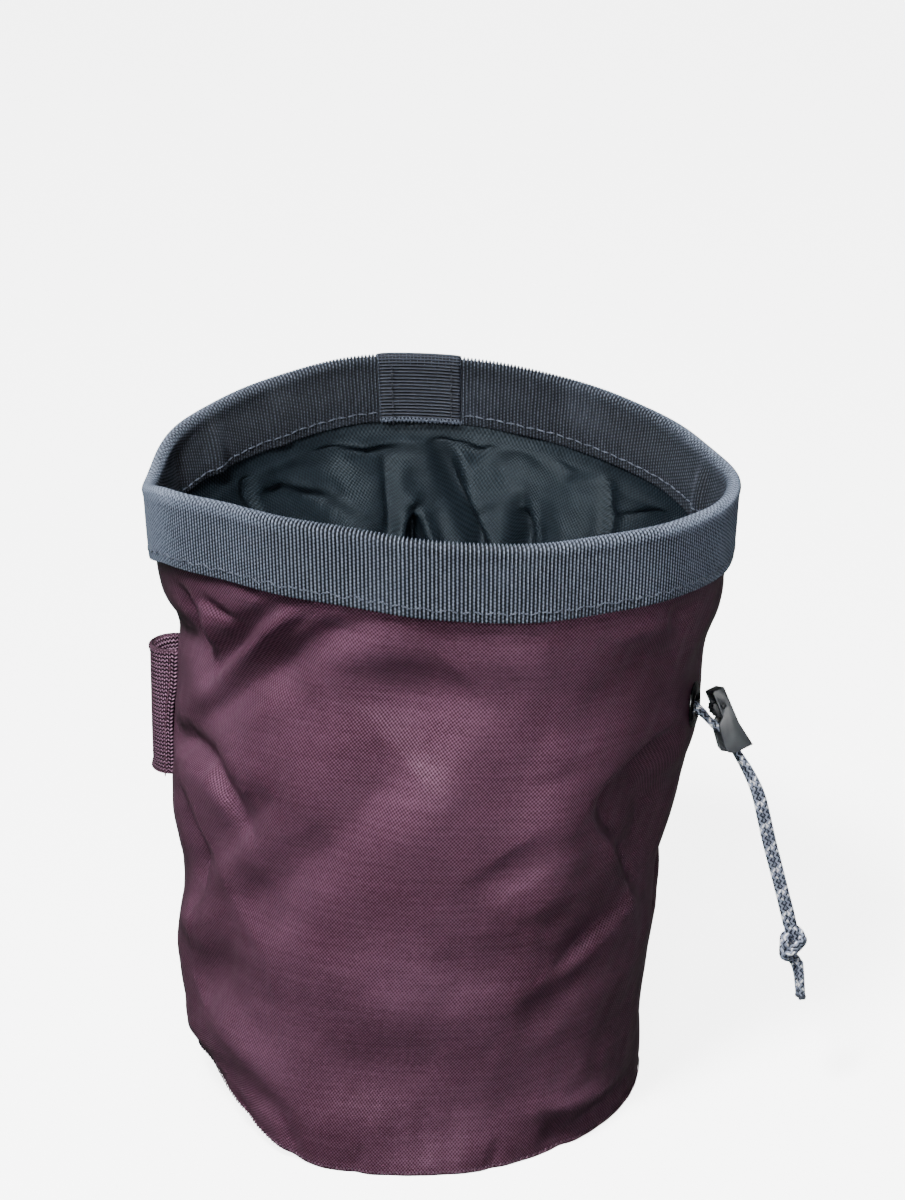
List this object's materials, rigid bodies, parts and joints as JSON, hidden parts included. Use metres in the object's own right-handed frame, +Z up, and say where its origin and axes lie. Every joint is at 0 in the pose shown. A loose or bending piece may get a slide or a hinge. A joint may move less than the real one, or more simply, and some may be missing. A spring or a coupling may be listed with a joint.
{
  "type": "climbing chalk bag",
  "caption": "Small soft climbing chalk bag standing on its base, with a webbing rim, gathered collar, brush loop, belt loop and drawcord with a cord lock.",
  "frame": {"origin": "middle of the base panel's underside, on the surface the bag stands on", "axes": "+Z up, -Y out of the front, +X towards the side with the eyelet and cord"},
  "size_m": [0.1565, 0.1356, 0.1611],
  "materials": {
    "shell_nylon": "satin",
    "webbing": "matte",
    "lining_nylon": "satin",
    "elastic": "matte",
    "eyelet_metal": "polished",
    "cord_braid": "matte",
    "lock_plastic": "matte",
    "cam_plastic": "matte"
  },
  "bodies": {
    "bag": {"shell_wall": "shell_nylon", "base_panel": "shell_nylon", "rim_band": "webbing", "belt_loop": "webbing", "lining": "lining_nylon", "brush_loop": "elastic", "eyelet": "eyelet_metal", "cord_a": "cord_braid", "cord_b": "cord_braid", "cord_knot": "cord_braid", "cord_tail_a": "cord_braid", "cord_tail_b": "cord_braid", "lock_housing": "lock_plastic"},
    "lock_cam": {"lock_cam": "cam_plastic"}
  },
  "joints": [
    {"name": "cam_pivot", "type": "hinge", "parent": "bag", "child": "lock_cam", "pos_m": [0.07179, -0.01722, 0.10134], "axis": [-0.2196, 0.9183, -0.3294], "range_deg": [0, 25], "stiffness_Nm_per_rad": 0.002}
  ]
}
